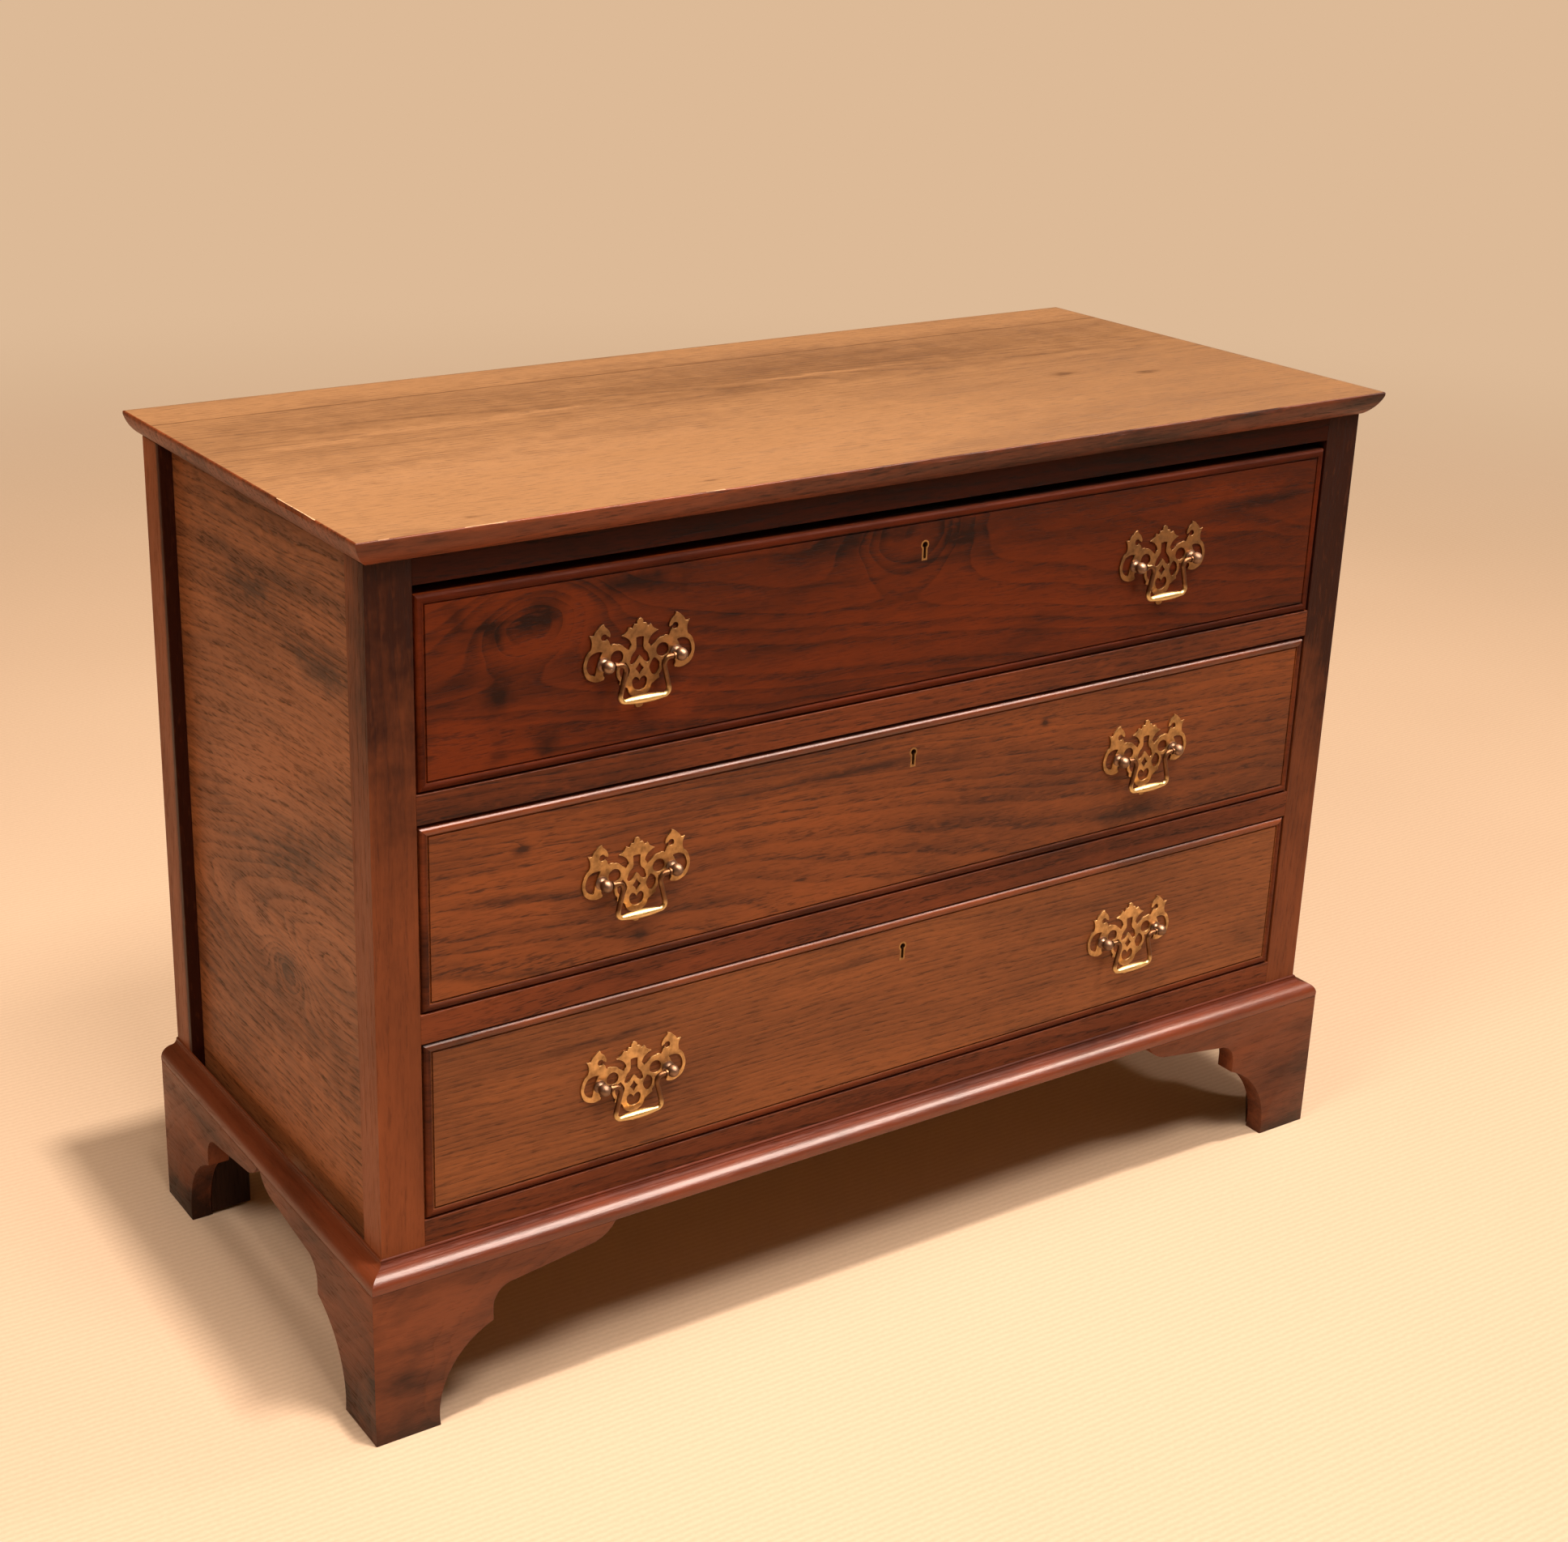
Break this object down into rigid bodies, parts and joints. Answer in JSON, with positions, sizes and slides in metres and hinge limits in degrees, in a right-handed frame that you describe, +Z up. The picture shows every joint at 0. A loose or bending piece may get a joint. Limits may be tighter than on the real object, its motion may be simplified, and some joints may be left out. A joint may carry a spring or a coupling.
{
  "type": "bachelors chest",
  "caption": "Low oak chest of full-width drawers with panelled sides, moulded top and base, bracket feet, pierced backplates, drop handles and drawer locks, for storing clothes.",
  "frame": {"origin": "on the floor, under the middle of the chest's bounding box", "axes": "+X to the right along the width as seen from the front, +Y from the front to the back, +Z up"},
  "size_m": [1.034, 0.457, 0.751],
  "materials": {
    "case_oak": "waxed dark oak",
    "front_oak": "waxed dark red-brown oak",
    "top_oak": "faded and polished oak",
    "plain_oak": "unfinished oak",
    "brass": "worn satin",
    "iron": "dull"
  },
  "bodies": {
    "carcass": {"top_board": "top_oak", "post_front_left": "case_oak", "post_front_right": "case_oak", "post_rear_left": "case_oak", "post_rear_right": "case_oak", "side_panel_left": "case_oak", "side_panel_right": "case_oak", "back_panel": "plain_oak", "bottom_board": "plain_oak", "rail_front_top": "case_oak", "rail_front_upper": "case_oak", "rail_front_lower": "case_oak", "rail_front_bottom": "case_oak", "rail_back_top": "plain_oak", "rail_back_bottom": "plain_oak", "runners_left": "plain_oak", "runners_right": "plain_oak", "base_moulding_front": "case_oak", "base_moulding_left": "case_oak", "base_moulding_right": "case_oak", "foot_front_left": "case_oak", "foot_front_right": "case_oak", "foot_rear_left": "case_oak", "foot_rear_right": "case_oak"},
    "drawer_top": {"drawer_top_front": "front_oak", "drawer_top_side_left": "plain_oak", "drawer_top_side_right": "plain_oak", "drawer_top_back": "plain_oak", "drawer_top_bottom": "plain_oak", "drawer_top_plates": "brass", "drawer_top_pommels": "brass", "drawer_top_escutcheon": "brass", "drawer_top_lock": "iron"},
    "drawer_top_bail_left": {"drawer_top_bail_left": "brass"},
    "drawer_top_bail_right": {"drawer_top_bail_right": "brass"},
    "drawer_top_lock_bolt": {"drawer_top_lock_bolt": "iron"},
    "drawer_middle": {"drawer_middle_front": "front_oak", "drawer_middle_side_left": "plain_oak", "drawer_middle_side_right": "plain_oak", "drawer_middle_back": "plain_oak", "drawer_middle_bottom": "plain_oak", "drawer_middle_plates": "brass", "drawer_middle_pommels": "brass", "drawer_middle_escutcheon": "brass", "drawer_middle_lock": "iron"},
    "drawer_middle_bail_left": {"drawer_middle_bail_left": "brass"},
    "drawer_middle_bail_right": {"drawer_middle_bail_right": "brass"},
    "drawer_middle_lock_bolt": {"drawer_middle_lock_bolt": "iron"},
    "drawer_bottom": {"drawer_bottom_front": "front_oak", "drawer_bottom_side_left": "plain_oak", "drawer_bottom_side_right": "plain_oak", "drawer_bottom_back": "plain_oak", "drawer_bottom_bottom": "plain_oak", "drawer_bottom_plates": "brass", "drawer_bottom_pommels": "brass", "drawer_bottom_escutcheon": "brass", "drawer_bottom_lock": "iron"},
    "drawer_bottom_bail_left": {"drawer_bottom_bail_left": "brass"},
    "drawer_bottom_bail_right": {"drawer_bottom_bail_right": "brass"},
    "drawer_bottom_lock_bolt": {"drawer_bottom_lock_bolt": "iron"}
  },
  "joints": [
    {"name": "drawer_top_slide", "type": "slide", "parent": "carcass", "child": "drawer_top", "axis": [0, -1, 0], "range_m": [0, 0.3]},
    {"name": "drawer_top_bail_left_hinge", "type": "hinge", "parent": "drawer_top", "child": "drawer_top_bail_left", "pos_m": [-0.27, -0.2205, 0.6223], "axis": [-1, 0, 0], "range_deg": [-7, 180]},
    {"name": "drawer_top_bail_right_hinge", "type": "hinge", "parent": "drawer_top", "child": "drawer_top_bail_right", "pos_m": [0.27, -0.2205, 0.6223], "axis": [-1, 0, 0], "range_deg": [-7, 180]},
    {"name": "drawer_top_lock_bolt_throw", "type": "slide", "parent": "drawer_top", "child": "drawer_top_lock_bolt", "axis": [0, 0, 1], "range_m": [0, 0.012]},
    {"name": "drawer_middle_slide", "type": "slide", "parent": "carcass", "child": "drawer_middle", "axis": [0, -1, 0], "range_m": [0, 0.3]},
    {"name": "drawer_middle_bail_left_hinge", "type": "hinge", "parent": "drawer_middle", "child": "drawer_middle_bail_left", "pos_m": [-0.27, -0.2205, 0.4403], "axis": [-1, 0, 0], "range_deg": [-7, 180]},
    {"name": "drawer_middle_bail_right_hinge", "type": "hinge", "parent": "drawer_middle", "child": "drawer_middle_bail_right", "pos_m": [0.27, -0.2205, 0.4403], "axis": [-1, 0, 0], "range_deg": [-7, 180]},
    {"name": "drawer_middle_lock_bolt_throw", "type": "slide", "parent": "drawer_middle", "child": "drawer_middle_lock_bolt", "axis": [0, 0, 1], "range_m": [0, 0.012]},
    {"name": "drawer_bottom_slide", "type": "slide", "parent": "carcass", "child": "drawer_bottom", "axis": [0, -1, 0], "range_m": [0, 0.3]},
    {"name": "drawer_bottom_bail_left_hinge", "type": "hinge", "parent": "drawer_bottom", "child": "drawer_bottom_bail_left", "pos_m": [-0.27, -0.2205, 0.2593], "axis": [-1, 0, 0], "range_deg": [-7, 180]},
    {"name": "drawer_bottom_bail_right_hinge", "type": "hinge", "parent": "drawer_bottom", "child": "drawer_bottom_bail_right", "pos_m": [0.27, -0.2205, 0.2593], "axis": [-1, 0, 0], "range_deg": [-7, 180]},
    {"name": "drawer_bottom_lock_bolt_throw", "type": "slide", "parent": "drawer_bottom", "child": "drawer_bottom_lock_bolt", "axis": [0, 0, 1], "range_m": [0, 0.012]}
  ]
}
